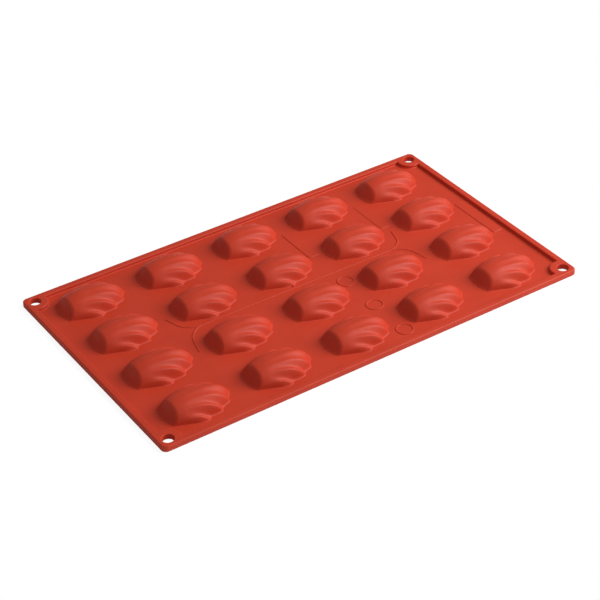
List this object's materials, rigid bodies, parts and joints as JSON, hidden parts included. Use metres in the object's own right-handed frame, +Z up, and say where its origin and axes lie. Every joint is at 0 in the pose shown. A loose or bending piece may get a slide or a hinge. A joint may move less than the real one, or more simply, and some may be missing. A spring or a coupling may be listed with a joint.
{
  "type": "silicone mould",
  "caption": "Flexible silicone baking mould, shown cups up, with rows of small ribbed shell-shaped cups in a thin web and a raised rim with hanging eyelets.",
  "frame": {"origin": "middle of the flat filling face that the mould rests on", "axes": "+X along the length towards the rounded ends of the cups, +Y across, +Z up out of the cups' backs"},
  "size_m": [0.3, 0.175, 0.0122],
  "materials": {
    "silicone": "matt moulded silicone rubber, brick red"
  },
  "bodies": {
    "strip_1": {"web_panel_1": "silicone", "left_end_rim": "silicone", "cup_skirt_1_1": "silicone", "cup_skirt_1_2": "silicone", "cup_skirt_1_3": "silicone", "cup_skirt_1_4": "silicone"},
    "strip_2": {"web_panel_2": "silicone", "front_rim_2": "silicone", "back_rim_2": "silicone", "cup_skirt_2_1": "silicone", "cup_skirt_2_2": "silicone", "cup_skirt_2_3": "silicone", "cup_skirt_2_4": "silicone", "flex_band_1_2": "silicone"},
    "strip_3": {"web_panel_3": "silicone", "front_rim_3": "silicone", "back_rim_3": "silicone", "cup_skirt_3_1": "silicone", "cup_skirt_3_2": "silicone", "cup_skirt_3_3": "silicone", "cup_skirt_3_4": "silicone", "flex_band_2_3": "silicone", "flex_band_3_4": "silicone"},
    "strip_4": {"web_panel_4": "silicone", "front_rim_4": "silicone", "back_rim_4": "silicone", "cup_skirt_4_1": "silicone", "cup_skirt_4_2": "silicone", "cup_skirt_4_3": "silicone", "cup_skirt_4_4": "silicone", "flex_band_4_5": "silicone"},
    "strip_5": {"web_panel_5": "silicone", "right_end_rim": "silicone", "cup_skirt_5_1": "silicone", "cup_skirt_5_2": "silicone", "cup_skirt_5_3": "silicone", "cup_skirt_5_4": "silicone"},
    "crown_1_1": {"cup_crown_1_1": "silicone"},
    "crown_1_2": {"cup_crown_1_2": "silicone"},
    "crown_1_3": {"cup_crown_1_3": "silicone"},
    "crown_1_4": {"cup_crown_1_4": "silicone"},
    "crown_2_1": {"cup_crown_2_1": "silicone"},
    "crown_2_2": {"cup_crown_2_2": "silicone"},
    "crown_2_3": {"cup_crown_2_3": "silicone"},
    "crown_2_4": {"cup_crown_2_4": "silicone"},
    "crown_3_1": {"cup_crown_3_1": "silicone"},
    "crown_3_2": {"cup_crown_3_2": "silicone"},
    "crown_3_3": {"cup_crown_3_3": "silicone"},
    "crown_3_4": {"cup_crown_3_4": "silicone"},
    "crown_4_1": {"cup_crown_4_1": "silicone"},
    "crown_4_2": {"cup_crown_4_2": "silicone"},
    "crown_4_3": {"cup_crown_4_3": "silicone"},
    "crown_4_4": {"cup_crown_4_4": "silicone"},
    "crown_5_1": {"cup_crown_5_1": "silicone"},
    "crown_5_2": {"cup_crown_5_2": "silicone"},
    "crown_5_3": {"cup_crown_5_3": "silicone"},
    "crown_5_4": {"cup_crown_5_4": "silicone"}
  },
  "joints": [
    {"name": "bend_1_2", "type": "hinge", "parent": "strip_2", "child": "strip_1", "pos_m": [-0.08595, 0, 0.0008], "axis": [0, -1, 0], "range_deg": [-60, 60], "stiffness_Nm_per_rad": 0.02, "deforming": ["flex_band_1_2"]},
    {"name": "bend_2_3", "type": "hinge", "parent": "strip_3", "child": "strip_2", "pos_m": [-0.02945, 0, 0.0008], "axis": [0, -1, 0], "range_deg": [-60, 60], "stiffness_Nm_per_rad": 0.02, "deforming": ["flex_band_2_3"]},
    {"name": "bend_3_4", "type": "hinge", "parent": "strip_3", "child": "strip_4", "pos_m": [0.02705, 0, 0.0008], "axis": [0, 1, 0], "range_deg": [-60, 60], "stiffness_Nm_per_rad": 0.02, "deforming": ["flex_band_3_4"]},
    {"name": "bend_4_5", "type": "hinge", "parent": "strip_4", "child": "strip_5", "pos_m": [0.08355, 0, 0.0008], "axis": [0, 1, 0], "range_deg": [-60, 60], "stiffness_Nm_per_rad": 0.02, "deforming": ["flex_band_4_5"]},
    {"name": "press_1_1", "type": "slide", "parent": "strip_1", "child": "crown_1_1", "axis": [0, 0, -1], "range_m": [0, 0.006], "stiffness_N_per_m": 300, "deforming": ["cup_skirt_1_1"]},
    {"name": "press_1_2", "type": "slide", "parent": "strip_1", "child": "crown_1_2", "axis": [0, 0, -1], "range_m": [0, 0.006], "stiffness_N_per_m": 300, "deforming": ["cup_skirt_1_2"]},
    {"name": "press_1_3", "type": "slide", "parent": "strip_1", "child": "crown_1_3", "axis": [0, 0, -1], "range_m": [0, 0.006], "stiffness_N_per_m": 300, "deforming": ["cup_skirt_1_3"]},
    {"name": "press_1_4", "type": "slide", "parent": "strip_1", "child": "crown_1_4", "axis": [0, 0, -1], "range_m": [0, 0.006], "stiffness_N_per_m": 300, "deforming": ["cup_skirt_1_4"]},
    {"name": "press_2_1", "type": "slide", "parent": "strip_2", "child": "crown_2_1", "axis": [0, 0, -1], "range_m": [0, 0.006], "stiffness_N_per_m": 300, "deforming": ["cup_skirt_2_1"]},
    {"name": "press_2_2", "type": "slide", "parent": "strip_2", "child": "crown_2_2", "axis": [0, 0, -1], "range_m": [0, 0.006], "stiffness_N_per_m": 300, "deforming": ["cup_skirt_2_2"]},
    {"name": "press_2_3", "type": "slide", "parent": "strip_2", "child": "crown_2_3", "axis": [0, 0, -1], "range_m": [0, 0.006], "stiffness_N_per_m": 300, "deforming": ["cup_skirt_2_3"]},
    {"name": "press_2_4", "type": "slide", "parent": "strip_2", "child": "crown_2_4", "axis": [0, 0, -1], "range_m": [0, 0.006], "stiffness_N_per_m": 300, "deforming": ["cup_skirt_2_4"]},
    {"name": "press_3_1", "type": "slide", "parent": "strip_3", "child": "crown_3_1", "axis": [0, 0, -1], "range_m": [0, 0.006], "stiffness_N_per_m": 300, "deforming": ["cup_skirt_3_1"]},
    {"name": "press_3_2", "type": "slide", "parent": "strip_3", "child": "crown_3_2", "axis": [0, 0, -1], "range_m": [0, 0.006], "stiffness_N_per_m": 300, "deforming": ["cup_skirt_3_2"]},
    {"name": "press_3_3", "type": "slide", "parent": "strip_3", "child": "crown_3_3", "axis": [0, 0, -1], "range_m": [0, 0.006], "stiffness_N_per_m": 300, "deforming": ["cup_skirt_3_3"]},
    {"name": "press_3_4", "type": "slide", "parent": "strip_3", "child": "crown_3_4", "axis": [0, 0, -1], "range_m": [0, 0.006], "stiffness_N_per_m": 300, "deforming": ["cup_skirt_3_4"]},
    {"name": "press_4_1", "type": "slide", "parent": "strip_4", "child": "crown_4_1", "axis": [0, 0, -1], "range_m": [0, 0.006], "stiffness_N_per_m": 300, "deforming": ["cup_skirt_4_1"]},
    {"name": "press_4_2", "type": "slide", "parent": "strip_4", "child": "crown_4_2", "axis": [0, 0, -1], "range_m": [0, 0.006], "stiffness_N_per_m": 300, "deforming": ["cup_skirt_4_2"]},
    {"name": "press_4_3", "type": "slide", "parent": "strip_4", "child": "crown_4_3", "axis": [0, 0, -1], "range_m": [0, 0.006], "stiffness_N_per_m": 300, "deforming": ["cup_skirt_4_3"]},
    {"name": "press_4_4", "type": "slide", "parent": "strip_4", "child": "crown_4_4", "axis": [0, 0, -1], "range_m": [0, 0.006], "stiffness_N_per_m": 300, "deforming": ["cup_skirt_4_4"]},
    {"name": "press_5_1", "type": "slide", "parent": "strip_5", "child": "crown_5_1", "axis": [0, 0, -1], "range_m": [0, 0.006], "stiffness_N_per_m": 300, "deforming": ["cup_skirt_5_1"]},
    {"name": "press_5_2", "type": "slide", "parent": "strip_5", "child": "crown_5_2", "axis": [0, 0, -1], "range_m": [0, 0.006], "stiffness_N_per_m": 300, "deforming": ["cup_skirt_5_2"]},
    {"name": "press_5_3", "type": "slide", "parent": "strip_5", "child": "crown_5_3", "axis": [0, 0, -1], "range_m": [0, 0.006], "stiffness_N_per_m": 300, "deforming": ["cup_skirt_5_3"]},
    {"name": "press_5_4", "type": "slide", "parent": "strip_5", "child": "crown_5_4", "axis": [0, 0, -1], "range_m": [0, 0.006], "stiffness_N_per_m": 300, "deforming": ["cup_skirt_5_4"]}
  ]
}
